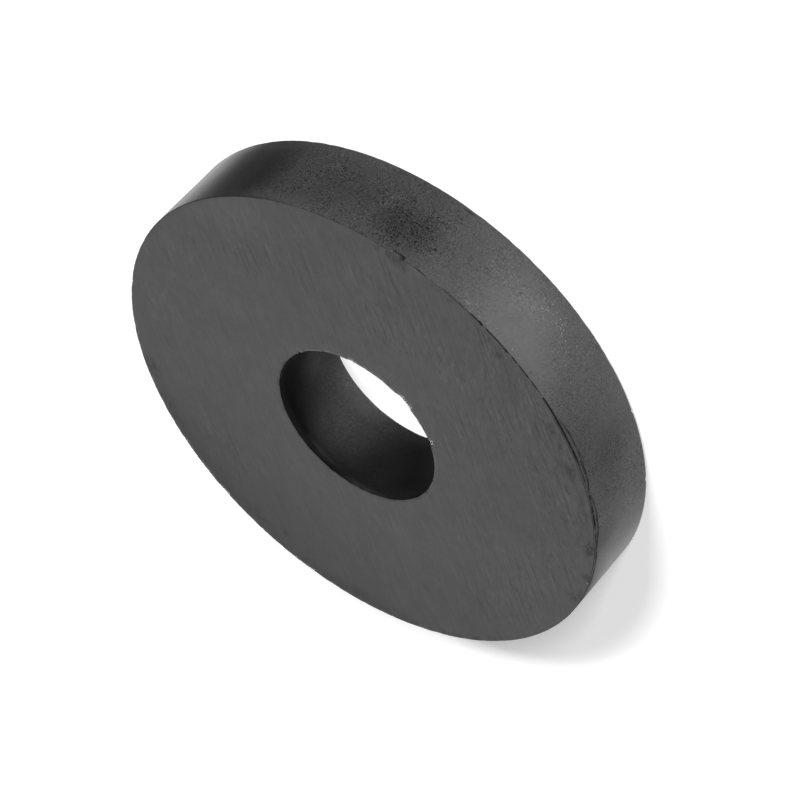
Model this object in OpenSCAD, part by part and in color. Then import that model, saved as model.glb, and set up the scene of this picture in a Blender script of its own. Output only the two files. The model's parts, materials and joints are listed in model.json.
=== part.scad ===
// Ring magnet of hard ferrite, pressed and sintered in one piece and then ground on its faces.
// It lies on its pressed face: Z = 0 is that face, the bore's axis is Z, and the origin is on the axis.

/* [Ring] */
// Outside diameter of the ring
outer_d = 60; // [45:1:90]
// Diameter of the bore
bore_d = 20; // [12:0.5:30]
// Thickness from face to face
thickness = 10; // [6:0.5:20]

/* [Edges] */
// Radius left on the two edges of the ground upper face
ground_edge_r = 0.15; // [0.05:0.05:0.3]
// Radius on the two edges of the lower face, as the press tool leaves it
pressed_edge_r = 0.4; // [0.1:0.05:0.8]

/* [Edge damage] */
// Length along the rim of the longest flake lost from the upper edge
flake_length = 9; // [5:0.5:10]
// How far that flake reaches down the rim
flake_height = 0.95; // [0.5:0.05:1.5]
// Depth of a flake, as a share of the rim's own bulge over the flake's length
flake_depth_share = 0.35; // [0.3:0.05:0.9]
// Length along the edge of an ordinary chip
chip_length = 1; // [0.6:0.1:1.4]
// Depth of an ordinary chip, square to the edge
chip_depth = 0.3; // [0.2:0.05:0.4]

/* [Hidden] */

FERRITE_GREY = [0.33, 0.33, 0.33];
BODY_FACETS = 180;
EDGE_FACETS = 48;
CHIP_FACETS = 40;
BEYOND = 1;

rim_r = outer_d / 2;
bore_r = bore_d / 2;
wall = rim_r - bore_r;
ground_z = thickness - ground_edge_r;

// Flakes off the upper outside edge: angle about Z, then size as a share of the longest one
FLAKES = [
    [-126, 1],
    [-143.5, 0.82],
];

// Chips out of the edges: angle about Z, length and depth as shares of an ordinary chip
UPPER_RIM_CHIPS = [
    [-74.5, 1.1, 0.8],
    [-78.5, 2.2, 0.5],
    [-94, 0.7, 0.8],
    [-101, 0.6, 0.7],
    [-163, 0.6, 0.7],
];
LOWER_RIM_CHIPS = [
    [-78, 1.7, 0.8],
    [-131, 1.2, 1.1],
    [-149, 1.4, 1.1],
];
UPPER_BORE_CHIPS = [
    [-132, 0.9, 0.7],
    [-100, 2.6, 0.7],
    [-60, 1.2, 0.6],
    [-18, 0.6, 0.7],
    [16, 0.7, 0.7],
];

// A quarter-round corner of the section
module corner(x, z, r) {
    translate([x, z]) circle(r = r, $fn = EDGE_FACETS);
}

// Half the ring cut through its axis: a slab with a different corner radius on each face
module section() {
    translate([bore_r, pressed_edge_r])
        square([wall, ground_z - pressed_edge_r]);
    translate([bore_r + pressed_edge_r, 0])
        square([wall - 2 * pressed_edge_r, ground_z]);
    translate([bore_r + ground_edge_r, pressed_edge_r])
        square([wall - 2 * ground_edge_r, thickness - pressed_edge_r]);
    corner(bore_r + pressed_edge_r, pressed_edge_r, pressed_edge_r);
    corner(rim_r - pressed_edge_r, pressed_edge_r, pressed_edge_r);
    corner(bore_r + ground_edge_r, ground_z, ground_edge_r);
    corner(rim_r - ground_edge_r, ground_z, ground_edge_r);
}

// Height of an arc of radius r above its chord
function bulge(r, chord) = r - sqrt(r * r - chord * chord / 4);

// Radius of the arc that rises by a given height over a chord
function arc_r(chord, rise) = (chord * chord / 4 + rise * rise) / (2 * rise);

// What a flake takes: all that lies outside a flatter, off-centre cone, so that the scar
// is a crescent, deepest at the face and running out down the rim
module flake(angle, length, height) {
    depth = flake_depth_share * bulge(rim_r, length);
    scar_r = arc_r(length, bulge(rim_r, length) - depth);
    rotate([0, 0, angle])
        difference() {
            translate([rim_r - BEYOND, -length, thickness - height])
                cube([2 * BEYOND, 2 * length, height + BEYOND]);
            translate([rim_r - depth - scar_r, 0, thickness - height])
                cylinder(
                    h = height + 2 * BEYOND,
                    r1 = scar_r + depth,
                    r2 = scar_r - depth * 2 * BEYOND / height,
                    $fn = BODY_FACETS * 4
                );
        }
}

// What a chip takes: a shell-shaped hollow, cut square to the edge at 45 degrees.
// side is 1 on the rim and -1 in the bore; up is 1 on the upper face and -1 on the lower one
module chip(angle, length, depth, edge_r, edge_z, side, up) {
    hollow_r = arc_r(length, depth);
    stand_off = (hollow_r - depth) / sqrt(2);
    rotate([0, 0, angle])
        translate([edge_r + side * stand_off, 0, edge_z + up * stand_off])
            sphere(r = hollow_r, $fn = CHIP_FACETS);
}

module chips(list, edge_r, edge_z, side, up) {
    for (c = list)
        chip(c[0], c[1] * chip_length, c[2] * chip_depth, edge_r, edge_z, side, up);
}

module ring_magnet() {
    color(FERRITE_GREY)
        difference() {
            rotate_extrude($fn = BODY_FACETS) section();
            for (f = FLAKES)
                flake(f[0], f[1] * flake_length, f[1] * flake_height);
            chips(UPPER_RIM_CHIPS, rim_r, thickness, 1, 1);
            chips(LOWER_RIM_CHIPS, rim_r, 0, 1, -1);
            chips(UPPER_BORE_CHIPS, bore_r, thickness, -1, 1);
        }
}

ring_magnet();
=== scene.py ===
"""Ring magnet of hard ferrite: the finish and edge damage of the ring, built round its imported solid,
and the plain studio that it lies in. Lengths are in metres, and in millimetres where a name ends in _mm."""
import json
import math

import bpy
import numpy as np
from bpy.props import FloatProperty, FloatVectorProperty, IntProperty, PointerProperty
from mathutils import Matrix, Vector


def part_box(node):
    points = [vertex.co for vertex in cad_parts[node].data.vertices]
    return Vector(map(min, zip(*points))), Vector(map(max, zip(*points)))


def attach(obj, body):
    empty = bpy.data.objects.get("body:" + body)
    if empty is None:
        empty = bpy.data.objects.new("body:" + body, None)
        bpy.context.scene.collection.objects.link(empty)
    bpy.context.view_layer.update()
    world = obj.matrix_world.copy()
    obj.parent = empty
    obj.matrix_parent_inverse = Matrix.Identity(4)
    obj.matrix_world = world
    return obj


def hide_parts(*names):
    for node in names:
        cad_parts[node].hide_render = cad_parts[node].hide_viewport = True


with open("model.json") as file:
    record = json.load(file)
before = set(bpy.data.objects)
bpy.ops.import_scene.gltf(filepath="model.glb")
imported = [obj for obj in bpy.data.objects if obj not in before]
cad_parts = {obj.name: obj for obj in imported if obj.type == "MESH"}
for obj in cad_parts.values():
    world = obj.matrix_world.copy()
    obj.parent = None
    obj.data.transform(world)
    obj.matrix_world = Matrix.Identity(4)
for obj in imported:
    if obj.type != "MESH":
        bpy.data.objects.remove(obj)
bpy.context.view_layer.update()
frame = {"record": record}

bl_info = {
    "name": "Ferrite ring magnet",
    "version": (1, 0, 0),
    "blender": (4, 5, 0),
    "location": "3D View > Sidebar > Ring magnet",
    "description": "A sintered and ground ferrite ring with its edge damage, on a plain studio floor",
    "category": "Add Mesh",
}

MM = 0.001
MOUNTS = {mount["name"]: mount["dims"] for mount in frame["record"]["mounts"]}
LOW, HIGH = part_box("ring_magnet")
RIM_R = MOUNTS["rim"]["r_mm"] * MM
BORE_R = MOUNTS["bore"]["r_mm"] * MM
THICKNESS = HIGH.z - LOW.z

# The step between rows down the damaged rim, how far below the face they go, and how far in from the rim
# the rows of the face stand closer
ROW_STEP = 0.065 * MM
DAMAGE_REACH = 1.25 * MM
FACE_REACH = 0.9 * MM

# Seeds of the random reliefs. Where a relief is made again for each edge, flake or chip, it counts up
LONG_WAVE_SEED, SHORT_WAVE_SEED = 11, 12
CRUMBLE_SEED, GRIT_SEED = 21, 31
FLAKE_SEED, STEP_SHADOW_AFTER_FLAKE = 41, 9
BREAKS_SEED, CRUMBS_SEED = 51, 52
CHIP_SEED = 61

# Material slots of the ring: the ground faces, and the walls with their edges
GROUND_SLOT, WALL_SLOT = 0, 1

# Sockets that have no name of their own: outputs of the nodes Attribute, Texture Coordinate and Vector
# Math, and the ends of a Mix node set to colours
ATTRIBUTE_FACTOR, OBJECT_PLACE, VECTOR_LENGTH = 2, 3, 1
MIX_FACTOR, MIX_FIRST, MIX_SECOND, MIX_COLOUR = 0, 6, 7, 2

# The usual run of a noise
NOISE_LOW, NOISE_HIGH = 0.3, 0.7

# How far the floor lies under the ring's lower face, and how strongly it glows for the camera
FLOOR_DROP = 0.02 * MM
FLOOR_GLOW = 0.36

# Lamps on the ring and lamps on the floor: name, angle about Z and angle above the floor in degrees,
# distance in mm, width and height in mm
RING_LAMPS = (
    ("front_lamp", -118, 3, 600, (200, 30)),
    ("back_lamp", 85, 1, 600, (200, 30)),
    ("top_lamp", 90, 78, 600, (200, 200)),
)
FLOOR_LAMPS = (
    ("floor_lamp", -51, 37, 3000, (810, 330)),
    ("low_floor_lamp", -83, 28, 3000, (600, 390)),
)

# Flakes off the upper outside edge: first and last angle about Z, height down the rim and depth in mm, and
# how far the deepest reach lies towards the last angle (1 in the middle)
FLAKES = (
    (-117.6, -137.0, 0.84, 0.07, 1.0),
    (-137.2, -152.0, 0.76, 0.07, 0.9),
)

# Chips out of an edge: which edge, angle about Z, length along the edge in mm, depth square to it in mm
CHIPS = (
    ("upper_rim", -74.5, 1.1, 0.24),
    ("upper_rim", -78.5, 2.2, 0.15),
    ("upper_rim", -94.0, 0.7, 0.24),
    ("upper_rim", -101.0, 0.6, 0.21),
    ("upper_rim", -163.0, 0.6, 0.21),
    ("lower_rim", -78.0, 1.7, 0.24),
    ("lower_rim", -96.7, 0.8, 0.10),
    ("lower_rim", -100.5, 0.8, 0.12),
    ("lower_rim", -111.5, 1.0, 0.14),
    ("lower_rim", -117.8, 1.2, 0.12),
    ("lower_rim", -131.0, 1.2, 0.33),
    ("lower_rim", -140.5, 0.9, 0.12),
    ("lower_rim", -149.0, 1.4, 0.33),
    ("upper_bore", -132.0, 0.9, 0.21),
    ("upper_bore", -100.0, 2.6, 0.21),
    ("upper_bore", -60.0, 1.0, 0.10),
    ("upper_bore", -18.0, 0.6, 0.21),
    ("upper_bore", 16.0, 0.7, 0.12),
)

# Painted shade in the rounding of the upper outside edge and under the steps of its chips and flakes: first
# and last angle about Z, how far below the face in mm at each of them, half width in mm, and how dark from 0
# to 1
EDGE_SHADE_LINES = (
    (-72.6, -75.4, 0.37, 0.32, 0.11, 1.0),
    (-84.0, -93.0, 0.06, 0.09, 0.09, 0.6),
    (-91.0, -113.0, 0.10, 0.20, 0.11, 0.95),
    (-112.6, -126.0, 0.22, 0.27, 0.15, 1.0),
    (-125.8, -128.6, 0.27, 0.30, 0.17, 1.0),
    (-128.5, -130.0, 0.30, 0.30, 0.13, 1.0),
    (-129.8, -134.5, 0.28, 0.29, 0.12, 0.8),
    (-134.0, -138.0, 0.28, 0.30, 0.12, 0.5),
    (-128.8, -134.4, 0.68, 0.68, 0.11, 0.8),
    (-137.3, -141.2, 0.30, 0.27, 0.17, 0.9),
    (-140.8, -146.4, 0.26, 0.30, 0.19, 1.0),
    (-146.2, -149.6, 0.32, 0.30, 0.17, 0.8),
    (-149.4, -154.0, 0.29, 0.31, 0.15, 0.6),
    (-153.6, -158.5, 0.32, 0.34, 0.15, 0.8),
    (-158.3, -178.0, 0.33, 0.50, 0.14, 0.75),
    (-35.0, -48.0, 0.10, 0.12, 0.06, 0.3),
)

# Each spot below is a soft patch of a surface: its middle as angle about Z and height up a wall (or radius
# on a face) in mm, its half width along and across in mm, and an amount
# Factors on the rim's colour, mostly painted light and shade: a painted pool of light on its front near -99
# degrees, painted shade away from there towards -30 and -150 degrees, a painted reflection low near -32
# degrees, painted shade high near -165 degrees and by the lower chip near -78 degrees, and lighter along
# both edges near -48 degrees and in a small spot near -153 degrees. The dark patch near -71.5 degrees is the
# ferrite's own.
RIM_LIGHT_AND_TONE = (
    (-99, 7.0, 5.5, 4.5, 0.37),
    (-94, 2.5, 5.0, 3.0, 0.18),
    (-71.5, 6.6, 3.6, 3.0, -0.48),
    (-67, 2.5, 5.0, 4.0, -0.1),
    (-55, 5.5, 3.0, 2.5, -0.16),
    (-47, 2.6, 3.5, 1.4, 0.16),
    (-43, 9.0, 5.0, 1.0, 0.14),
    (-61, 5.0, 1.6, 1.6, -0.12),
    (-78.3, 0.55, 0.8, 0.16, -0.5),
    (-130, 7.5, 8.0, 4.5, -0.42),
    (-133, 4.0, 3.0, 2.5, -0.16),
    (-126, 1.2, 12.0, 2.6, -0.14),
    (-150, 6.0, 6.5, 8.0, -0.24),
    (-37, 6.0, 2.4, 6.0, -0.42),
    (-30, 6.5, 3.5, 5.0, -0.36),
    (-32, 0.9, 4.0, 1.0, 0.5),
    (-112, 5.0, 3.5, 2.0, -0.1),
    (-152, 8.6, 2.4, 2.4, -0.3),
    (-153.3, 9.55, 0.2, 0.09, 1.4),
    (-46, 9.6, 6.0, 0.9, 0.3),
    (-50, 0.6, 6.0, 1.0, 0.3),
    (-165, 9.7, 7.0, 0.7, -0.5),
)
RIM_GRIT = (
    (-101, 8.6, 6.0, 3.6, -0.7),
    (-71, 6.0, 5.5, 4.2, 1.35),
    (-58, 5.0, 5.5, 6.0, 0.8),
    (-44, 5.0, 4.5, 6.0, 1.3),
    (-145, 5.5, 6.0, 6.0, 0.8),
    (-105, 3.6, 5.0, 2.0, -0.25),
    (-60, 2.0, 3.0, 1.6, -0.5),
    (-29, 5.0, 2.8, 8.0, -0.8),
    (-175, 5.0, 6.0, 8.0, -0.7),
)
RIM_ROUGHNESS = (
    (-32, 5.0, 4.5, 9.0, 0.35),
    (-20, 0.6, 3.0, 0.8, -0.25),
    (-15, 5.0, 3.0, 9.0, -0.15),
    (-173, 3.5, 3.0, 5.0, 0.05),
    (-172, 9.5, 6.0, 2.5, 0.2),
)
RIM_SPECKS = (
    (-103, 2.6, 2.5, 1.0, 0.7),
    (-96, 9.2, 6.0, 0.6, 0.55),
    (-108, 4.0, 4.0, 2.0, 0.35),
    (-163, 9.8, 2.0, 0.3, 0.6),
)
# Factors on the bore's colour over a base of 0.08: the low base is painted shade that darkens the whole
# bore, and the spots are mostly painted light, strongest low down near 70 degrees, with painted shade at the
# top near 62 and 97 degrees
BORE_SHADE_AND_LIGHT = (
    (70, 1.5, 6.0, 5.8, 1.2),
    (86, 6.3, 3.6, 4.0, 0.85),
    (110, 2.5, 2.4, 3.0, 0.2),
    (126, 0.0, 3.0, 1.6, 0.3),
    (124, 4.0, 1.6, 1.6, 0.06),
    (80, 0.0, 4.5, 2.2, 0.9),
    (120, 9.6, 3.6, 5.0, 0.37),
    (150, 9.4, 2.5, 1.6, 0.12),
    (62, 10.2, 4.5, 1.3, -0.95),
    (33, 4.0, 2.3, 2.0, 0.5),
    (97, 9.7, 2.8, 0.75, -0.38),
    (148, 9.6, 3.0, 0.9, 0.15),
    (-80, 5.0, 12.0, 14.0, 0.5),
)
# Factors on the colour of the upper face: painted shade towards its far side near 90 degrees, and smaller
# lighter and darker spots
FACE_SHADE_AND_TONE = (
    (88, 31.0, 26.0, 9.0, -0.26),
    (105, 25.0, 27.0, 10.0, -0.1),
    (82, 30.2, 20.0, 2.4, -0.18),
    (82, 21.0, 24.0, 7.0, -0.1),
    (150, 25.0, 8.0, 6.0, -0.08),
    (64, 28.8, 10.0, 1.8, -0.14),
    (120, 28.8, 6.0, 1.2, -0.14),
    (73, 29.9, 1.8, 0.6, 0.3),
    (-95, 15.0, 12.0, 9.0, 0.06),
    (0, 20.0, 4.0, 3.0, 0.06),
    (180, 20.0, 4.0, 3.0, 0.06),
    (-30, 28.5, 6.0, 2.5, 0.2),
    (-112, 26.0, 1.5, 0.6, -0.08),
    (-76, 28.6, 0.3, 0.2, -0.5),
    (-74.5, 29.8, 0.7, 0.3, -0.35),
    (-90.3, 28.9, 0.12, 0.1, 1.2),
    (-163.9, 29.85, 0.2, 0.15, 1.4),
    (-126, 27.0, 1.2, 0.16, 0.2),
    (-121, 27.7, 1.2, 0.16, 0.2),
    (-116, 28.5, 1.2, 0.18, 0.2),
)
FACE_SCUFFS = (
    (-127, 14.0, 9.0, 3.5, 0.9),
    (-74, 17.5, 9.0, 4.0, 1.0),
    (-125, 23.0, 7.0, 4.0, 0.8),
    (-110, 21.0, 7.0, 4.0, 0.6),
    (-92, 22.0, 8.0, 5.0, 0.3),
    (-140, 26.5, 5.0, 3.0, 1.4),
    (-118, 27.8, 6.0, 2.0, 1.4),
    (-102, 28.3, 5.0, 1.5, 1.4),
    (-70, 25.0, 7.0, 4.0, 0.7),
    (-35, 23.0, 7.0, 5.0, 0.6),
    (-12, 25.0, 6.0, 4.0, 0.4),
    (-166, 25.5, 7.0, 4.0, 1.0),
    (170, 24.5, 8.0, 4.0, 0.9),
    (-168, 17.0, 9.0, 3.0, 0.6),
    (68, 24.5, 5.0, 3.0, 1.2),
    (18, 26.0, 5.0, 3.0, 0.5),
)
FACE_CROSSED = (
    (-106, 26.5, 6.0, 4.5, 1.0),
    (-93, 21.5, 8.0, 3.5, 0.7),
    (-111, 20.5, 8.0, 4.0, 0.8),
    (46, 15.0, 12.0, 3.0, 0.5),
)
FACE_SMUDGES = (
    (-170, 29.2, 1.4, 0.8, 0.8),
    (-162, 29.5, 0.8, 0.6, 1.0),
    (-156, 29.8, 2.0, 0.3, 0.8),
    (-152.5, 29.0, 1.8, 0.9, 1.3),
    (-146, 27.2, 1.0, 1.6, 0.6),
    (-140, 29.3, 2.6, 0.8, 0.6),
    (-131, 28.8, 2.0, 1.2, 0.6),
    (-123, 28.7, 4.5, 0.9, 0.8),
    (-101.4, 28.8, 0.4, 0.6, 1.1),
    (-98, 29.2, 1.4, 0.6, 1.1),
    (-86, 29.3, 2.5, 0.5, 0.5),
    (-72, 29.4, 2.2, 0.7, 0.9),
    (44, 29.0, 2.0, 0.7, 0.8),
    (53, 29.2, 1.3, 0.6, 0.8),
    (59, 29.1, 1.2, 0.7, 0.8),
    (87, 28.2, 1.9, 1.0, 1.0),
    (95, 27.3, 0.6, 0.5, 1.0),
    (103, 29.3, 1.3, 0.9, 1.0),
    (110.5, 29.0, 1.4, 0.9, 0.8),
    (116.5, 29.0, 1.0, 1.2, 0.8),
    (126, 29.3, 3.0, 0.6, 0.7),
    (143, 29.7, 8.0, 0.5, 0.9),
)


class FerriteRingSize(bpy.types.PropertyGroup):
    """The ring's own sizes, and how finely its surface is divided."""

    rim_radius: FloatProperty(
        name="Rim radius", description="Radius of the outside wall", default=RIM_R, unit="LENGTH"
    )
    bore_radius: FloatProperty(
        name="Bore radius", description="Radius of the bore", default=BORE_R, unit="LENGTH"
    )
    thickness: FloatProperty(
        name="Thickness", description="Height from face to face", default=THICKNESS, unit="LENGTH"
    )
    upper_edge: FloatProperty(
        name="Upper outside edge",
        description="Radius left on the outside edge of the upper face",
        default=0.09 * MM,
        unit="LENGTH",
    )
    bore_edge: FloatProperty(
        name="Upper bore edge",
        description="Radius left on the bore's edge in the upper face",
        default=0.06 * MM,
        unit="LENGTH",
    )
    lower_edge: FloatProperty(
        name="Lower edges",
        description="Radius on the edges of the lower face",
        default=0.4 * MM,
        unit="LENGTH",
    )
    columns: IntProperty(
        name="Columns", description="Divisions of the ring about its axis", default=900, min=90
    )
    damaged_from: FloatProperty(
        name="Damage from",
        description="Angle at which the closely divided part of the edge begins",
        default=math.radians(-175),
        subtype="ANGLE",
    )
    damaged_to: FloatProperty(
        name="Damage to",
        description="Angle at which the closely divided part of the edge ends",
        default=math.radians(-60),
        subtype="ANGLE",
    )
    closeness: FloatProperty(
        name="Closeness",
        description="How many times closer the columns stand where the edge is damaged",
        default=3.5,
        min=1.0,
    )


class FerriteFinish(bpy.types.PropertyGroup):
    """Colours and textures of the ferrite."""

    ground_colour: FloatVectorProperty(
        name="Ground face",
        description="Colour of the ground faces",
        default=(0.095, 0.095, 0.095),
        subtype="COLOR",
        size=3,
    )
    sintered_colour: FloatVectorProperty(
        name="Sintered wall",
        description="Colour of the rim and the bore, as they left the kiln",
        default=(0.07, 0.07, 0.07),
        subtype="COLOR",
        size=3,
    )
    # Colour of the painted shade along the upper outside edge and the flakes' steps, and of the dark band
    # about the bore's upper corner
    shade_and_dirt_colour: FloatVectorProperty(
        name="Shade_and_dirt",
        description="Colour of the dirt in the edge and in the step_shadows",
        default=(0.003, 0.003, 0.003),
        subtype="COLOR",
        size=3,
    )
    speck_colour: FloatVectorProperty(
        name="Specks",
        description="Colour of the pale specks",
        default=(0.3, 0.3, 0.3),
        subtype="COLOR",
        size=3,
    )
    grinding_angle: FloatProperty(
        name="Grinding direction",
        description="Angle of the grinding marks about Z",
        default=math.radians(143),
        subtype="ANGLE",
    )
    ground_roughness: FloatProperty(
        name="Ground roughness", description="Roughness of the ground faces", default=0.45, min=0, max=1
    )
    sintered_roughness: FloatProperty(
        name="Sintered roughness", description="Roughness of the walls", default=0.3, min=0, max=1
    )


class StudioSetting(bpy.types.PropertyGroup):
    """The floor, the light and the camera."""

    floor_width: FloatProperty(
        name="Floor width", description="Width of the square floor", default=4.0, unit="LENGTH"
    )
    floor_colour: FloatVectorProperty(
        name="Floor", description="Colour of the floor", default=(0.8, 0.8, 0.8), subtype="COLOR", size=3
    )
    camera_place: FloatVectorProperty(
        name="Camera",
        description="Place of the camera",
        default=(-1.50 * MM, -313.32 * MM, 202.24 * MM),
        subtype="TRANSLATION",
        unit="LENGTH",
        size=3,
    )
    camera_dip: FloatProperty(
        name="Camera dip",
        description="How far below the horizon the camera looks",
        default=math.radians(32.34),
        subtype="ANGLE",
    )
    camera_roll: FloatProperty(
        name="Camera roll",
        description="How far the camera is turned about its own line of sight",
        default=math.radians(-137.18),
        subtype="ANGLE",
    )
    lens_mm: FloatProperty(name="Lens", description="Focal length in millimetres", default=156.67)
    sky: FloatProperty(name="Sky", description="Strength of the even light from all round", default=0.2)
    front_lamp: FloatProperty(
        name="Front lamp", description="Power of the low lamp in front", default=4.5, subtype="POWER"
    )
    back_lamp: FloatProperty(
        name="Back lamp", description="Power of the low lamp behind", default=1.6, subtype="POWER"
    )
    top_lamp: FloatProperty(
        name="Top lamp", description="Power of the lamp overhead", default=1.35, subtype="POWER"
    )
    floor_lamp: FloatProperty(
        name="Floor lamp", description="Power of the high lamp on the floor", default=81, subtype="POWER"
    )
    low_floor_lamp: FloatProperty(
        name="Low floor lamp", description="Power of the low lamp on the floor", default=61, subtype="POWER"
    )


def ripples(points, wavelength, seed, waves=32):
    """Seeded uneven relief: the sum of plane waves of one wavelength in random directions, scaled so that
    its usual height is 1."""
    random = np.random.default_rng(seed)
    direction = random.normal(size=(waves, 3))
    direction /= np.linalg.norm(direction, axis=1, keepdims=True)
    phase = random.uniform(0, 2 * math.pi, waves)
    turns = points @ direction.T * (2 * math.pi / wavelength) + phase
    return np.sin(turns).sum(-1) / math.sqrt(waves / 2)


def smooth(x, low, high):
    """0 below low, 1 above high, and a smooth S between them: 3t^2 - 2t^3."""
    t = np.clip((x - low) / (high - low), 0, 1)
    return t * t * (3 - 2 * t)


def between(first, last, count, closeness=1.6):
    """count places strictly between first and last, closer together towards both ends: an even run from
    -1 to 1 bent by tanh."""
    run = np.linspace(-1, 1, count + 2)[1:-1]
    return first + (last - first) * (np.tanh(closeness * run) / math.tanh(closeness) + 1) / 2


def quarter(centre_r, centre_z, radius, first_deg, count):
    """Points on a quarter circle that runs clockwise from an angle, both ends included."""
    turn = np.radians(first_deg - np.linspace(0, 90, count))
    return np.stack([centre_r + radius * np.cos(turn), centre_z + radius * np.sin(turn)], 1)


def level(radii, z):
    """Section points at one height."""
    return np.stack([radii, np.full(len(radii), z)], 1)


def upright(r, heights):
    """Section points at one radius."""
    return np.stack([np.full(len(heights), r), heights], 1)


def ring_section(ring):
    """The section's outline as rows of (radius, height), clockwise from the upper outside edge, and each
    row's share of ground surface: 1 on a face, 0 on a wall, and the height of the normal on an edge."""
    rim, bore, top = ring.rim_radius, ring.bore_radius, ring.thickness
    up, fine, low = ring.upper_edge, ring.bore_edge, ring.lower_edge
    damaged = np.arange(top - up - ROW_STEP, top - DAMAGE_REACH, -ROW_STEP)
    near_edge = between(rim - FACE_REACH, rim - up, 9, 0.6)
    parts = [
        quarter(rim - up, top - up, up, 90, 6),
        upright(rim, damaged),
        upright(rim, between(damaged[-1], low, 27)),
        quarter(rim - low, low, low, 0, 7),
        level(between(rim - low, bore + low, 7), 0),
        quarter(bore + low, low, low, -90, 5),
        upright(bore, between(low, top - fine, 14)),
        quarter(bore + fine, top - fine, fine, 180, 5),
        level(between(bore + fine, rim - FACE_REACH, 14), top),
        level(near_edge, top),
    ]
    rows = np.concatenate(parts)
    around = np.roll(rows, -1, axis=0) - np.roll(rows, 1, axis=0)
    ground = np.abs(around[:, 0]) / np.linalg.norm(around, axis=1)
    return rows, ground


def ring_columns(ring):
    """Angles of the columns about Z, spaced as the inverse of a density that is 1 all round and rises to
    closeness where the edge is damaged."""
    turn = np.radians(np.linspace(-180, 180, 3601))
    blend = math.radians(5)
    inside = smooth(turn, ring.damaged_from - blend, ring.damaged_from + blend)
    inside *= 1 - smooth(turn, ring.damaged_to - blend, ring.damaged_to + blend)
    total = np.cumsum(1 + (ring.closeness - 1) * inside)
    total = (total - total[0]) / (total[-1] - total[0])
    return np.interp(np.linspace(0, 1, ring.columns + 1)[:-1], total, turn)


def worn_wall(points):
    """How deep under its true surface the press and the kiln left a wall: a long wave and a short one, at
    most 0.024 mm together."""
    long_wave = ripples(points, 19 * MM, LONG_WAVE_SEED)
    short_wave = ripples(points, 4.2 * MM, SHORT_WAVE_SEED)
    return 0.007 * MM * (1 + np.tanh(long_wave)) + 0.005 * MM * (1 + np.tanh(short_wave))


def edge_corners(ring):
    """Each edge's corner as radius, height, side (1 outside, -1 in the bore) and up (1 upper, -1 lower)."""
    return {
        "upper_rim": (ring.rim_radius, ring.thickness, 1, 1),
        "lower_rim": (ring.rim_radius, 0.0, 1, -1),
        "upper_bore": (ring.bore_radius, ring.thickness, -1, 1),
        "lower_bore": (ring.bore_radius, 0.0, -1, -1),
    }


def wear_edges(points, ring):
    """Fine wear of the four edges. A point near a corner moves square to the edge, by a random depth along
    the edge, at most 0.074 mm, times a bell of its distance from the corner:
    depth * exp(-(distance / reach)^2)."""
    crumble_depth, grit_depth, reach = 0.025 * MM, 0.012 * MM, 0.3 * MM
    radius = np.linalg.norm(points[..., :2], axis=-1)
    outward = points[..., :2] / radius[..., None]
    for seed, (edge_r, edge_z, side, up) in enumerate(edge_corners(ring).values()):
        along = np.concatenate([outward[:, 0] * edge_r, np.zeros((len(outward), 1))], 1)
        crumble = np.clip(ripples(along, 2.1 * MM, CRUMBLE_SEED + seed) - 0.4, 0, 2)
        grit = np.clip(ripples(along, 0.7 * MM, GRIT_SEED + seed), 0, 2)
        depth = (crumble_depth * crumble + grit_depth * grit)[:, None]
        distance = np.hypot(radius - edge_r, points[..., 2] - edge_z)
        move = depth * np.exp(-((distance / reach) ** 2)) / math.sqrt(2)
        points[..., :2] -= side * outward * move[..., None]
        points[..., 2] -= up * move


def chip_edge(points, ring, edge, angle_deg, length_mm, depth_mm, seed):
    """A shell-shaped chip. Points inside a ball are pushed away from its centre onto its skin, and the
    skin is uneven by 0.12 of the chip's depth. Returns how broken each point now is, 0 or 1."""
    edge_r, edge_z, side, up = edge_corners(ring)[edge]
    length, depth = length_mm * MM, depth_mm * MM
    ball = (length * length / 4 + depth * depth) / (2 * depth)
    stand_off = (ball - depth) / math.sqrt(2)
    turn = math.radians(angle_deg)
    centre_r = edge_r + side * stand_off
    centre = np.array([centre_r * math.cos(turn), centre_r * math.sin(turn), edge_z + up * stand_off])
    away = points - centre
    distance = np.linalg.norm(away, axis=-1)
    skin = ball + 0.12 * depth * ripples(points, 0.45 * length, seed)
    hit = distance < skin
    points[hit] = centre + away[hit] * (skin[hit] / distance[hit])[:, None]
    return hit.astype(float)


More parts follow.
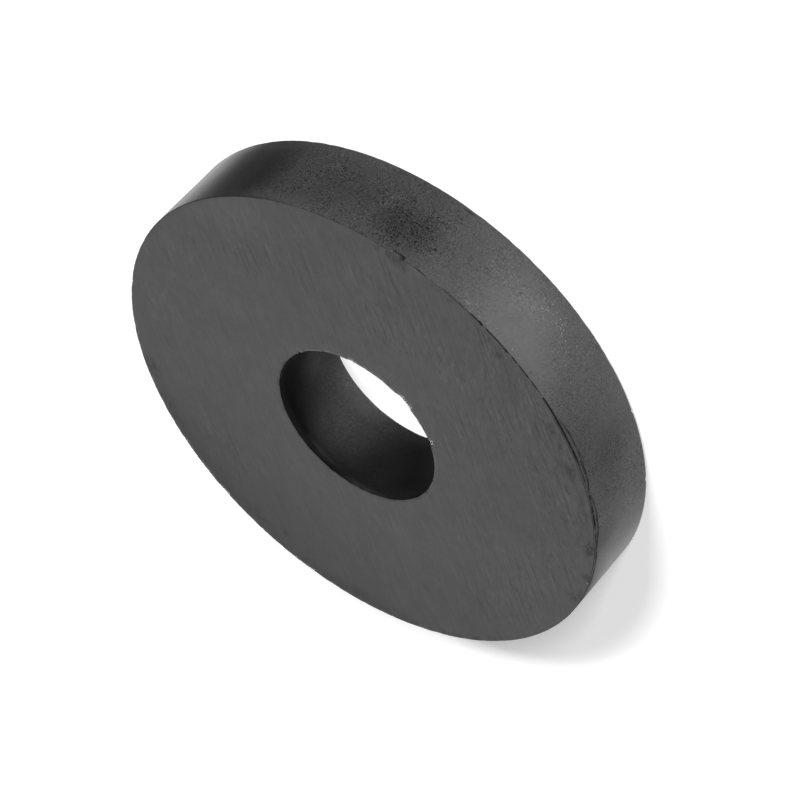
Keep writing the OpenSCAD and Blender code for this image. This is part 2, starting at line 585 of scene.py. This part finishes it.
def flake_edge(points, ring, first_deg, last_deg, height_mm, depth_mm, skew, seed):
    """A long thin flake lost from the rim under the upper edge. Its lower border is a full bow along the
    rim, height * sqrt(1 - |2v - 1|^3), where v is u^skew and u runs from 0 to 1 along the flake. Inside it
    the wall stands back by an even depth, with a steep step at the border and a run-out at each end.
    Returns how broken each point is, and how much painted shadow of the step lies along its border."""
    radius = np.linalg.norm(points[..., :2], axis=-1)
    outward = points[..., :2] / radius[..., None]
    degrees = np.degrees(np.arctan2(points[..., 1], points[..., 0]))
    u = (degrees - first_deg) / (last_deg - first_deg)
    inside = (u > 0) & (u < 1)
    v = np.clip(u, 0, 1) ** skew
    bow = height_mm * MM * np.sqrt(1 - np.abs(2 * v - 1) ** 3)
    bow *= 1 + 0.03 * ripples(points, 2.2 * MM, seed)
    below = ring.thickness - points[..., 2]
    step = smooth(bow - below, 0, 0.07 * MM)
    ends = smooth(bow, 0, 0.5 * height_mm * MM)
    depth = depth_mm * MM * step * ends * inside
    depth *= smooth(radius, ring.rim_radius - 1.2 * MM, ring.rim_radius - 0.05 * MM)
    points[..., :2] -= outward * depth[..., None]
    on_wall = smooth(radius, ring.rim_radius - 0.12 * MM, ring.rim_radius - 0.06 * MM)
    # Painted shadow of the step: a dark line along the flake's border on the wall, of varying strength
    step_shadow = np.exp(-(((below - bow) / (0.08 * MM)) ** 2)) * inside * on_wall
    step_shadow *= 0.45 + 0.4 * smooth(ripples(points, 1.1 * MM, seed + STEP_SHADOW_AFTER_FLAKE), -0.8, 0.8)
    return step * inside * on_wall, step_shadow


def bells(points, middle_r, spots, upright_wall):
    """The sum of a list of spots on a wall of one radius, or on a face. Each is amount * exp(-d^3), where d
    is the distance from its middle in half widths: along the surface by angle, and across it by height on
    a wall and by radius on a face."""
    degrees = np.degrees(np.arctan2(points[..., 1], points[..., 0]))
    radius_mm = np.linalg.norm(points[..., :2], axis=-1) / MM
    second = points[..., 2] / MM if upright_wall else radius_mm
    total = np.zeros_like(second)
    for angle, middle, along, across, amount in spots:
        turn = np.radians((degrees - angle + 180) % 360 - 180)
        distance = np.hypot(turn * middle_r / MM / along, (second - middle) / across)
        total += amount * np.exp(-(distance**3))
    return total


def surface_finish(points, ring, on_face):
    """How the finish varies over the surface, as numbers at each point: the factor on the colour, which
    holds painted light and shade besides the ferrite's own variation, on the grit and on the scuffs, what is
    added to the roughness (rough), and the shares of pale specks, of strokes across the others (crossed) and
    of dark smudges."""
    radius = np.linalg.norm(points[..., :2], axis=-1)
    outside = radius > (ring.rim_radius + ring.bore_radius) / 2
    on_rim, in_bore = outside & ~on_face, ~outside & ~on_face
    upper = points[..., 2] > ring.thickness / 2
    # Painted light and shade on the rim, with a few patches of its own
    rim_light_and_tone = 1 + bells(points, ring.rim_radius, RIM_LIGHT_AND_TONE, True)
    # Painted shade darkens the bore to 0.08 of its colour, with painted light in patches
    bore_shade_and_light = 0.08 + bells(points, ring.bore_radius, BORE_SHADE_AND_LIGHT, True)
    # Painted shade towards the upper face's far side, with smaller spots
    face_shade_and_tone = 1 + bells(points, ring.rim_radius, FACE_SHADE_AND_TONE, False) * upper
    rough = bells(points, ring.rim_radius, RIM_ROUGHNESS, True)
    return {
        # The factor on the colour, carrying the painted light and shade above
        "tone": np.maximum(np.select([on_rim, in_bore], [rim_light_and_tone, bore_shade_and_light], face_shade_and_tone), 0.05),
        "grit": np.maximum(1 + bells(points, ring.rim_radius, RIM_GRIT, True) * on_rim - 0.2 * in_bore, 0.2),
        "rough": rough * on_rim + 0.3 * in_bore,
        "specks": bells(points, ring.rim_radius, RIM_SPECKS, True) * on_rim,
        "scuffs": 0.15 + bells(points, ring.rim_radius, FACE_SCUFFS, False) * upper,
        "crossed": bells(points, ring.rim_radius, FACE_CROSSED, False) * upper,
        "smudge": bells(points, ring.rim_radius, FACE_SMUDGES, False) * upper,
    }


def edge_shade_and_dirt(points, rows, ring):
    """Painted shade in the upper outside edge, and a dark band about the bore's upper corner. A line of
    shade round the rim is dark * exp(-|(depth - below) / half width|^3), where depth is measured down from
    the face, with small random breaks that are deeper in a paler line. In the bore the band lies about the
    corner, in a width that varies along it."""
    degrees = np.degrees(np.arctan2(points[..., 1], points[..., 0]))
    depth = (ring.thickness - points[..., 2]) / MM
    outer = np.isclose(rows[:, 0], ring.rim_radius, atol=1.01 * ring.upper_edge) & (rows[:, 1] > 0)
    breaks = smooth(ripples(points, 0.9 * MM, BREAKS_SEED), 0.3, 1.5)
    total = np.zeros_like(depth)
    for first, last, first_below, last_below, half, dark in EDGE_SHADE_LINES:
        along = (degrees - first) / (last - first)
        ends = smooth(along, 0.0, 0.04) * smooth(1 - along, 0.0, 0.04)
        below = first_below + (last_below - first_below) * np.clip(along, 0, 1)
        line = dark * (1 - (1.35 - dark) * breaks) * np.exp(-(np.abs((depth - below) / half) ** 3))
        total = np.maximum(total, line * ends * smooth(depth, 0.0, 0.03))
    width = 0.05 + 0.13 * smooth(ripples(points, 1.3 * MM, CRUMBS_SEED), 0.2, 1.6)
    from_corner = np.hypot(rows[:, 0] - ring.bore_radius, rows[:, 1] - ring.thickness) / MM
    crumbs = 0.8 * np.exp(-((from_corner / width) ** 2))
    return np.maximum(total * outer, crumbs)


def grid_mesh(name, points, attributes, row_material):
    """A closed mesh of quads from a (columns, rows, 3) grid that joins up in both directions, with smooth
    shading, one number per point for each attribute, and one material for each row of quads."""
    columns, rows = points.shape[:2]
    j, i = np.meshgrid(np.arange(columns), np.arange(rows), indexing="ij")
    next_j, next_i = (j + 1) % columns, (i + 1) % rows
    quads = np.stack(
        [j * rows + i, j * rows + next_i, next_j * rows + next_i, next_j * rows + i], -1
    ).reshape(-1, 4)
    mesh = bpy.data.meshes.new(name)
    mesh.vertices.add(columns * rows)
    mesh.vertices.foreach_set("co", points.astype(np.float32).ravel())
    mesh.loops.add(quads.size)
    mesh.loops.foreach_set("vertex_index", quads.astype(np.int32).ravel())
    mesh.polygons.add(len(quads))
    mesh.polygons.foreach_set("loop_start", np.arange(0, quads.size, 4, dtype=np.int32))
    materials = np.tile(row_material, columns)
    mesh.polygons.foreach_set("material_index", materials.astype(np.int32))
    mesh.update(calc_edges=True)
    for label, values in attributes.items():
        layer = mesh.attributes.new(label, "FLOAT", "POINT")
        layer.data.foreach_set("value", values.astype(np.float32).ravel())
    mesh.shade_smooth()
    return mesh


def ring_surface(ring):
    """The ring's skin: its section carried round Z, then worn, flaked and chipped. Returns the points as
    a (columns, rows, 3) grid, the numbers that they carry, and the material slot of each row of quads."""
    rows, ground = ring_section(ring)
    turn = ring_columns(ring)
    outward = np.stack([np.cos(turn), np.sin(turn)], 1)
    points = np.empty((len(turn), len(rows), 3))
    points[..., :2] = outward[:, None, :] * rows[None, :, 0, None]
    points[..., 2] = rows[:, 1]
    walls = 1 - ground
    out = np.where(rows[:, 0] > (ring.rim_radius + ring.bore_radius) / 2, 1.0, -1.0)
    sunk = -worn_wall(points) * walls * out
    points[..., :2] += outward[:, None, :] * sunk[..., None]
    on_face = np.broadcast_to(ground > 0.99, points.shape[:2])
    attributes = surface_finish(points, ring, on_face)
    # Painted shade along the upper outside edge and a dark band about the bore's corner
    dirt = edge_shade_and_dirt(points, rows, ring)
    wear_edges(points, ring)
    broken = np.zeros(points.shape[:2])
    for seed, flake in enumerate(FLAKES):
        lost, step_shadow = flake_edge(points, ring, *flake, FLAKE_SEED + seed)
        broken = np.maximum(broken, lost)
        # Each flake adds the painted shadow of its step to the painted shade along the edge
        dirt = np.maximum(dirt, step_shadow)
    for seed, chip in enumerate(CHIPS):
        broken = np.maximum(broken, chip_edge(points, ring, *chip, CHIP_SEED + seed))
    level_rows = np.isclose(rows[:, 1], np.roll(rows[:, 1], -1), atol=1e-9)
    attributes.update(broken=broken, dirt=dirt)
    return points, attributes, np.where(level_rows, GROUND_SLOT, WALL_SLOT)


class NodeBench:
    """Lays out a material's nodes: each call makes one node, sets it and links its inputs."""

    def __init__(self, name):
        self.material = bpy.data.materials.new(name)
        self.material.use_nodes = True
        self.tree = self.material.node_tree
        self.tree.nodes.clear()

    def node(self, kind, *sockets, output=0, **settings):
        """A node of a kind. sockets are its inputs in order, each a value, a linked output or None to leave
        it; settings are its own properties, and a setting named in_NAME is the input called NAME."""
        made = self.tree.nodes.new("ShaderNode" + kind)
        named = {k: v for k, v in settings.items() if k.startswith("in_")}
        for key, value in settings.items():
            if key not in named:
                setattr(made, key, value)
        pairs = list(zip(made.inputs, sockets))
        pairs += [(made.inputs[k[3:].replace("_", " ")], v) for k, v in named.items()]
        for socket, value in pairs:
            if isinstance(value, bpy.types.NodeSocket):
                self.tree.links.new(value, socket)
            elif value is not None:
                socket.default_value = value
        return made.outputs[output] if made.outputs else None

    def math(self, operation, *values):
        """A Math node."""
        return self.node("Math", *values, operation=operation)

    def attribute(self, name):
        """A number that the mesh carries at each point."""
        return self.node("Attribute", attribute_name=name, output=ATTRIBUTE_FACTOR)

    def place(self):
        """The point in the object's own coordinates."""
        return self.node("TexCoord", output=OBJECT_PLACE)

    def grain(self, size_mm, detail=2.0, roughness=0.5, angle=0.0, wander=0.0):
        """Noise with grains of a size in millimetres along X, Y and Z, the X axis turned to an angle about
        Z. wander bends the grains, more where it is higher. The noise runs from about 0.3 to 0.7."""
        size = tuple(length * MM for length in size_mm)
        at = self.node("Mapping", self.place(), None, (0, 0, angle), size, vector_type="TEXTURE")
        return self.node(
            "TexNoise", at, None, 1.0, detail, roughness, noise_dimensions="3D", in_Distortion=wander
        )

    def between(self, value, low, high, first, last):
        """The value's run from low to high carried over to first to last, and held there beyond it."""
        return self.node("MapRange", value, low, high, first, last)

    def step(self, value, low, high):
        """0 below low, 1 above high, smooth between."""
        return self.node("MapRange", value, low, high, 0.0, 1.0, interpolation_type="SMOOTHSTEP")

    def product(self, first, *others):
        """Numbers multiplied together."""
        for other in others:
            first = self.math("MULTIPLY", first, other)
        return first

    def strokes(self, marks, share, depth, crest=0.59):
        """A factor about 1: lighter along the crests of stretched noise and darker along its hollows, by a
        depth, where the share is not 0."""
        hollow = 1 - crest
        light = self.step(marks, crest, crest + 0.1)
        light = self.math("SUBTRACT", light, self.step(marks, hollow, hollow - 0.1))
        return self.math("ADD", 1.0, self.product(light, share, depth))

    def mix(self, factor, first, second):
        """A blend of two colours, first where the factor is 0."""
        made = self.tree.nodes.new("ShaderNodeMix")
        made.data_type = "RGBA"
        for index, value in ((MIX_FACTOR, factor), (MIX_FIRST, first), (MIX_SECOND, second)):
            socket = made.inputs[index]
            if isinstance(value, bpy.types.NodeSocket):
                self.tree.links.new(value, socket)
            else:
                socket.default_value = value
        return made.outputs[MIX_COLOUR]

    def gain(self, colour, factor):
        """A colour times a number."""
        return self.node("VectorMath", tuple(colour), None, None, factor, operation="SCALE")


def opaque(colour):
    """A colour property with its alpha."""
    return (*colour, 1.0)


def ground_ferrite(finish):
    """The ground face: faint marks of the grinder along one direction, a few long scratches, a fine
    mottle, and short light and dark strokes in patches, in that direction and leaning either way, with
    small dark pits and, where the mesh says so, strokes across them and smudges."""
    bench = NodeBench("ground_ferrite")
    angle = finish.grinding_angle
    fine = bench.grain((3.2, 0.28, 1), 3.0, 0.6, angle, 0.6)
    broad = bench.grain((7, 0.9, 1), 2.0, 0.5, angle + 0.12)
    clouds = bench.grain((3, 3, 3), 4.0, 0.62)
    patch = bench.grain((4, 2.5, 3), 3.0, 0.6, angle)
    rubbed = bench.step(patch, 0.44, 0.6)
    untouched = bench.step(patch, 0.6, 0.46)
    scuffs = bench.attribute("scuffs")
    some = bench.math("ADD", 0.3, bench.math("MULTIPLY", scuffs, 0.7))
    along = bench.grain((3.2, 0.34, 1), 1.0, 0.5, angle - 0.06, 1.0)
    lean = bench.grain((2.8, 0.36, 1), 1.0, 0.5, angle - 0.28, 1.0)
    turned = bench.grain((3.0, 0.36, 1), 1.0, 0.5, angle + 0.2, 1.0)
    across = bench.grain((3.2, 0.36, 1), 1.0, 0.5, angle - 0.66, 0.8)
    other = bench.grain((3.5, 3.5, 3.5), 2.0, 0.5)
    mottle = bench.math("SUBTRACT", bench.grain((1.1, 0.7, 0.9), 3.0, 0.65, angle - 0.3), 0.5)
    scratches = bench.grain((9, 0.25, 1), 0.0, 0.5, angle - 0.1, 0.5)
    pits = bench.step(bench.grain((0.55, 0.4, 0.5), 1.0, 0.5, angle), 0.63, 0.75)
    blot = bench.step(bench.grain((1.3, 0.7, 0.8), 3.0, 0.6, angle - 0.4), 0.4, 0.62)
    texture = bench.product(
        bench.between(fine, NOISE_LOW, NOISE_HIGH, 0.975, 1.025),
        bench.between(broad, NOISE_LOW, NOISE_HIGH, 0.96, 1.04),
        bench.between(clouds, NOISE_LOW, NOISE_HIGH, 0.92, 1.08),
        bench.strokes(along, bench.product(rubbed, some), 0.16),
        bench.strokes(lean, bench.product(untouched, some), 0.16),
        bench.strokes(turned, bench.product(bench.step(other, 0.44, 0.56), some), 0.14),
        bench.strokes(across, bench.attribute("crossed"), 0.16),
        bench.strokes(scratches, some, 0.24, 0.64),
        bench.math("ADD", 1.0, bench.product(mottle, some, 0.6)),
        bench.math("SUBTRACT", 1.0, bench.product(pits, untouched, some, 0.35)),
        bench.math("SUBTRACT", 1.0, bench.product(blot, bench.attribute("smudge"), 0.6)),
        bench.math("SUBTRACT", 1.0, bench.product(bench.attribute("broken"), 0.3)),
        # The mesh's factor on the colour, with painted shade towards the face's far side
        bench.attribute("tone"),
    )
    plain = bench.gain(finish.ground_colour, texture)
    # Painted shade along the upper outside edge and a dark band about the bore's corner, over the colour
    colour = bench.mix(bench.attribute("dirt"), plain, opaque(finish.shade_and_dirt_colour))
    height = bench.math("ADD", fine, bench.math("MULTIPLY", broad, 0.6))
    normal = bench.node("Bump", in_Strength=0.3, in_Distance=0.006 * MM, in_Height=height)
    shader = bench.node(
        "BsdfPrincipled",
        in_Base_Color=colour,
        in_Roughness=finish.ground_roughness,
        in_Specular_IOR_Level=0.2,
        in_Normal=normal,
    )
    bench.node("OutputMaterial", shader)
    return bench.material


def sintered_ferrite(finish):
    """The wall as it left the kiln: a fine grit with dark pores and level streaks, in patches and stronger
    where the mesh says so, cloudy in colour and carrying the mesh's painted light and shade, with a few pale
    specks, painted shade in the upper edge and along the flakes' steps, a dark band about the bore's corner,
    and its own grey where it is broken."""
    bench = NodeBench("sintered_ferrite")
    fine = bench.grain((0.16, 0.16, 0.16), 1.0, 0.6)
    coarse = bench.grain((0.5, 0.5, 0.5), 2.0, 0.6)
    patch = bench.grain((2.5, 2.5, 2.5), 3.0, 0.55)
    clouds = bench.grain((4, 4, 4), 2.0, 0.5)
    grit = bench.product(bench.attribute("grit"), bench.between(patch, 0.38, 0.58, 0.6, 1.3))
    pores = bench.step(bench.grain((0.24, 0.24, 0.24), 1.0, 0.5), 0.6, 0.7)
    fleck = bench.product(bench.math("SUBTRACT", fine, 0.5), 1.3)
    fleck = bench.math("ADD", fleck, bench.math("MULTIPLY", bench.math("SUBTRACT", coarse, 0.5), 0.4))
    fleck = bench.math("SUBTRACT", fleck, bench.math("MULTIPLY", pores, 0.16))
    fleck = bench.math("ADD", 1.02, bench.product(fleck, grit))
    streaks = bench.step(bench.grain((1.6, 1.6, 0.24), 1.0, 0.5), 0.62, 0.72)
    fleck = bench.math("SUBTRACT", fleck, bench.product(streaks, grit, 0.12))
    speck = bench.step(bench.grain((0.17, 0.17, 0.17), 0.0, 0.5), 0.73, 0.78)
    cloudy = bench.between(clouds, NOISE_LOW, NOISE_HIGH, 0.93, 1.07)
    # The mesh's factor on the colour carries painted light and shade on the rim and in the bore
    texture = bench.product(fleck, cloudy, bench.attribute("tone"))
    plain = bench.gain(finish.sintered_colour, texture)
    speckled = bench.mix(bench.product(speck, bench.attribute("specks")), plain, opaque(finish.speck_colour))
    fresh = bench.gain(finish.sintered_colour, bench.math("MULTIPLY", fleck, 0.6))
    chipped = bench.mix(bench.attribute("broken"), speckled, fresh)
    # Painted shade in the upper edge and along the flakes' steps, and a dark band about the bore's corner;
    # it also makes the surface rougher
    dirt = bench.attribute("dirt")
    colour = bench.mix(dirt, chipped, opaque(finish.shade_and_dirt_colour))
    roughness = bench.math("ADD", finish.sintered_roughness, bench.attribute("rough"))
    roughness = bench.math("ADD", roughness, bench.math("MULTIPLY", dirt, 0.6))
    height = bench.product(bench.math("ADD", fine, coarse), grit)
    normal = bench.node("Bump", in_Strength=0.3, in_Distance=0.01 * MM, in_Height=height)
    shader = bench.node(
        "BsdfPrincipled",
        in_Base_Color=colour,
        in_Roughness=roughness,
        in_Specular_IOR_Level=0.05,
        in_Normal=normal,
    )
    bench.node("OutputMaterial", shader)
    return bench.material


def floor_paint(setting):
    """A pale floor that shows white where it is lit and keeps the ring's shadow. The camera sees its own
    colour and its glow; gloss and glass see plain white. In the middle, which from above is seen only
    through the bore, it glows by 1 for all light."""
    bench = NodeBench("floor_paint")
    path = bench.tree.nodes.new("ShaderNodeLightPath")
    from_middle = bench.node("VectorMath", bench.place(), operation="LENGTH", output=VECTOR_LENGTH)
    middle = bench.node("MapRange", from_middle, 9 * MM, 12 * MM, 1.0, 0.0)
    white = bench.node("Emission", (1.0, 1.0, 1.0, 1.0), 1.0)
    part_white = bench.node("Emission", (1.0, 1.0, 1.0, 1.0), FLOOR_GLOW)
    lit = bench.node("BsdfDiffuse", (0.25, 0.25, 0.25, 1.0))
    shown = bench.node("AddShader", bench.node("BsdfDiffuse", opaque(setting.floor_colour)), part_white)
    shader = bench.node("MixShader", path.outputs["Is Camera Ray"], lit, shown)
    mirrored = bench.math("MAXIMUM", path.outputs["Is Glossy Ray"], path.outputs["Is Transmission Ray"])
    shader = bench.node("MixShader", bench.math("MAXIMUM", mirrored, middle), shader, white)
    bench.node("OutputMaterial", shader)
    return bench.material


def light_world(setting):
    """Even light from all round, and white where it is looked at."""
    world = bpy.data.worlds.new("studio")
    world.use_nodes = True
    bpy.context.scene.world = world
    tree = world.node_tree
    tree.nodes.clear()
    path = tree.nodes.new("ShaderNodeLightPath")
    seen = tree.nodes.new("ShaderNodeBackground")
    light = tree.nodes.new("ShaderNodeBackground")
    light.inputs["Strength"].default_value = setting.sky
    mix = tree.nodes.new("ShaderNodeMixShader")
    out = tree.nodes.new("ShaderNodeOutputWorld")
    direct = tree.nodes.new("ShaderNodeMath")
    direct.operation = "MAXIMUM"
    either = tree.nodes.new("ShaderNodeMath")
    either.operation = "MAXIMUM"
    tree.links.new(path.outputs["Is Camera Ray"], direct.inputs[0])
    tree.links.new(path.outputs["Is Glossy Ray"], direct.inputs[1])
    tree.links.new(direct.outputs[0], either.inputs[0])
    tree.links.new(path.outputs["Is Transmission Ray"], either.inputs[1])
    tree.links.new(either.outputs[0], mix.inputs[0])
    tree.links.new(light.outputs[0], mix.inputs[1])
    tree.links.new(seen.outputs[0], mix.inputs[2])
    tree.links.new(mix.outputs[0], out.inputs[0])


def hang_lamp(name, azimuth_deg, height_deg, distance_mm, size_mm, power, lit):
    """A lamp, wide and high as given, that faces the origin, from an angle about Z and an angle above the
    floor. It lights only the object that it is given."""
    turn, rise = math.radians(azimuth_deg), math.radians(height_deg)
    back = Vector((math.cos(turn) * math.cos(rise), math.sin(turn) * math.cos(rise), math.sin(rise)))
    light = bpy.data.lights.new(name, "AREA")
    light.shape = "RECTANGLE"
    light.size, light.size_y = (side * MM for side in size_mm)
    light.energy = power
    lamp = bpy.data.objects.new(name, light)
    lamp.location = back * distance_mm * MM
    lamp.rotation_mode = "QUATERNION"
    lamp.rotation_quaternion = (-back).to_track_quat("-Z", "Y")
    bpy.context.scene.collection.objects.link(lamp)
    receiver = bpy.data.collections.new(name + "_lights")
    receiver.objects.link(lit)
    lamp.light_linking.receiver_collection = receiver


def place_camera(setting):
    """The camera: it looks along +Y and down by its dip, turned about its line of sight by its roll."""
    dip, roll = setting.camera_dip, setting.camera_roll
    back = Vector((0, -math.cos(dip), math.sin(dip)))
    side, up = Vector((1, 0, 0)), Vector((0, math.sin(dip), math.cos(dip)))
    right = side * math.cos(roll) + up * math.sin(roll)
    top = up * math.cos(roll) - side * math.sin(roll)
    data = bpy.data.cameras.new("camera")
    data.lens = setting.lens_mm
    data.clip_start, data.clip_end = 1 * MM, 20.0
    camera = bpy.data.objects.new("camera", data)
    turned = Matrix((right, top, back)).transposed().to_4x4()
    camera.matrix_world = Matrix.Translation(Vector(setting.camera_place)) @ turned
    bpy.context.scene.collection.objects.link(camera)
    bpy.context.scene.camera = camera


def lay_floor(setting):
    """The floor, a flat square a hair's breadth under the ring's lower face."""
    half = setting.floor_width / 2
    mesh = bpy.data.meshes.new("floor")
    corners = [(-half, -half), (half, -half), (half, half), (-half, half)]
    mesh.from_pydata([(x, y, -FLOOR_DROP) for x, y in corners], [], [(0, 1, 2, 3)])
    mesh.materials.append(floor_paint(setting))
    floor = bpy.data.objects.new("floor", mesh)
    bpy.context.scene.collection.objects.link(floor)
    return floor


class MESH_OT_ferrite_ring(bpy.types.Operator):
    """Build the ferrite ring with its worn and chipped edges"""

    bl_idname = "mesh.ferrite_ring"
    bl_label = "Ferrite ring"

    def execute(self, context):
        ring = context.scene.ferrite_ring_size
        mesh = grid_mesh("ferrite_ring", *ring_surface(ring))
        mesh.materials.append(ground_ferrite(context.scene.ferrite_finish))
        mesh.materials.append(sintered_ferrite(context.scene.ferrite_finish))
        piece = bpy.data.objects.new("ferrite_ring", mesh)
        context.scene.collection.objects.link(piece)
        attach(piece, "root")
        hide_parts("ring_magnet")
        return {"FINISHED"}


class SCENE_OT_studio(bpy.types.Operator):
    """Lay the floor, hang the lamps and place the camera"""

    bl_idname = "scene.ring_magnet_studio"
    bl_label = "Studio"

    def execute(self, context):
        setting = context.scene.studio_setting
        context.scene.view_settings.view_transform = "Standard"
        light_world(setting)
        floor = lay_floor(setting)
        ring = bpy.data.objects["ferrite_ring"]
        for lamps, lit in ((RING_LAMPS, ring), (FLOOR_LAMPS, floor)):
            for name, *place in lamps:
                hang_lamp(name, *place, getattr(setting, name), lit)
        place_camera(setting)
        return {"FINISHED"}


class VIEW3D_PT_ring_magnet(bpy.types.Panel):
    """Sidebar panel with the ring's sizes, its finish and the studio"""

    bl_idname = "VIEW3D_PT_ring_magnet"
    bl_label = "Ring magnet"
    bl_space_type = "VIEW_3D"
    bl_region_type = "UI"
    bl_category = "Ring magnet"

    def draw(self, context):
        groups = (
            (context.scene.ferrite_ring_size, MESH_OT_ferrite_ring),
            (context.scene.ferrite_finish, None),
            (context.scene.studio_setting, SCENE_OT_studio),
        )
        for group, operator in groups:
            box = self.layout.box()
            for name in group.__annotations__:
                box.prop(group, name)
            if operator is not None:
                box.operator(operator.bl_idname)


CLASSES = (
    FerriteRingSize,
    FerriteFinish,
    StudioSetting,
    MESH_OT_ferrite_ring,
    SCENE_OT_studio,
    VIEW3D_PT_ring_magnet,
)


def register():
    """Adds the classes and the scene's settings."""
    for cls in CLASSES:
        bpy.utils.register_class(cls)
    bpy.types.Scene.ferrite_ring_size = PointerProperty(type=FerriteRingSize)
    bpy.types.Scene.ferrite_finish = PointerProperty(type=FerriteFinish)
    bpy.types.Scene.studio_setting = PointerProperty(type=StudioSetting)


def unregister():
    """Takes the settings and the classes away again."""
    del bpy.types.Scene.studio_setting
    del bpy.types.Scene.ferrite_finish
    del bpy.types.Scene.ferrite_ring_size
    for cls in reversed(CLASSES):
        bpy.utils.unregister_class(cls)


def main():
    register()
    bpy.ops.mesh.ferrite_ring()
    bpy.ops.scene.ring_magnet_studio()


if __name__ == "__main__":
    main()
